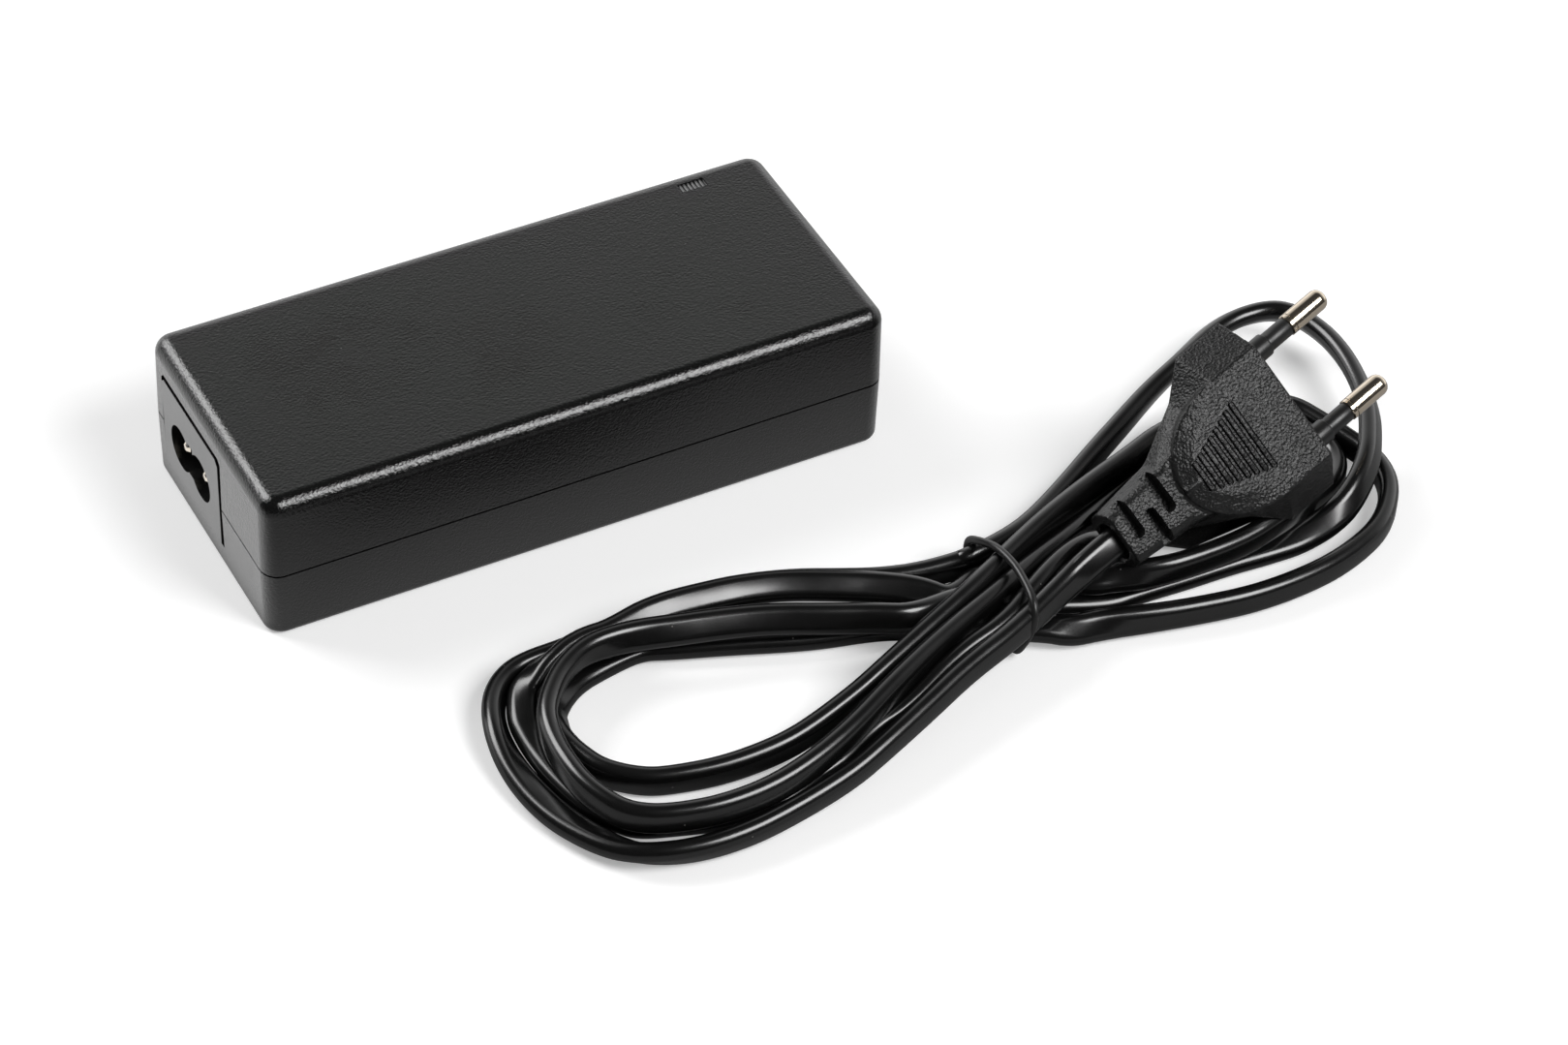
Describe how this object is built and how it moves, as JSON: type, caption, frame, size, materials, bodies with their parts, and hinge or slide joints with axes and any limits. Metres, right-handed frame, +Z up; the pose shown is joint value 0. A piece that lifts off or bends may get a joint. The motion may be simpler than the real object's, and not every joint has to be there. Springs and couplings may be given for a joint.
{
  "type": "laptop power adapter",
  "caption": "Long black mains adapter with rounded edges, a flush figure-of-eight inlet and a status window, beside its coiled flat lead with a flat plug.",
  "frame": {"origin": "middle of the case's underside, on the surface it lies on", "axes": "+X along the case away from its inlet, +Y across it away from the coiled lead, +Z up"},
  "size_m": [0.2042, 0.129, 0.0369],
  "materials": {
    "case_plastic": "black plastic with a fine spark-eroded grain",
    "inlet_plastic": "black glass-filled plastic, nearly smooth",
    "pin_metal": "nickel-plated brass, polished",
    "window_plastic": "grey translucent light pipe",
    "lamp_plastic": "clear moulded lamp",
    "board_laminate": "green lacquered laminate",
    "film": "black insulating film",
    "sheet_metal": "plain aluminium sheet",
    "ferrite": "dark grey sintered ferrite",
    "bobbin_plastic": "black phenolic",
    "winding_tape": "yellow polyester tape",
    "can_sleeve": "dark sleeve shrunk on an aluminium can",
    "copper_wire": "lacquered copper wire",
    "film_case": "yellow moulded box",
    "disc_coating": "blue epoxy coating",
    "fuse_tube": "ceramic tube with caps",
    "package_epoxy": "black moulded epoxy",
    "plug_rubber": "soft black PVC with a leathery grain",
    "sleeve_plastic": "black nylon",
    "cord_jacket": "glossy black PVC",
    "ring_rubber": "dark grey rubber",
    "contact_metal": "rolled brass"
  },
  "bodies": {
    "adapter": {"top_shell": "case_plastic", "bottom_shell": "case_plastic", "inlet_housing": "inlet_plastic", "inlet_pin_front": "pin_metal", "inlet_pin_back": "pin_metal", "light_pipe": "window_plastic", "status_light": "lamp_plastic", "output_socket": "inlet_plastic", "output_pin": "pin_metal", "circuit_board": "board_laminate", "insulation_sheet": "film", "heat_shield": "sheet_metal", "transformer_core": "ferrite", "transformer_bobbin": "bobbin_plastic", "transformer_winding": "winding_tape", "bulk_capacitor": "can_sleeve", "choke_core": "ferrite", "choke_windings": "copper_wire", "x_capacitor": "film_case", "y_capacitor": "disc_coating", "surge_absorber": "disc_coating", "mains_fuse": "fuse_tube", "bridge_rectifier": "package_epoxy", "primary_heat_sink": "sheet_metal", "switching_transistor": "package_epoxy", "secondary_heat_sink": "sheet_metal", "output_rectifier": "package_epoxy", "output_capacitors": "can_sleeve", "output_choke": "ferrite", "optocoupler": "package_epoxy"},
    "mains_lead": {"plug_body": "plug_rubber", "plug_pin_front": "pin_metal", "plug_pin_back": "pin_metal", "pin_sleeve_front": "sleeve_plastic", "pin_sleeve_back": "sleeve_plastic", "mains_cord": "cord_jacket", "connector_body": "plug_rubber", "connector_contacts": "contact_metal", "cord_ring": "ring_rubber"}
  },
  "joints": [
    {"name": "lead_lift", "type": "slide", "parent": "adapter", "child": "mains_lead", "axis": [0, 0, 1], "range_m": [0, 0.1]}
  ]
}
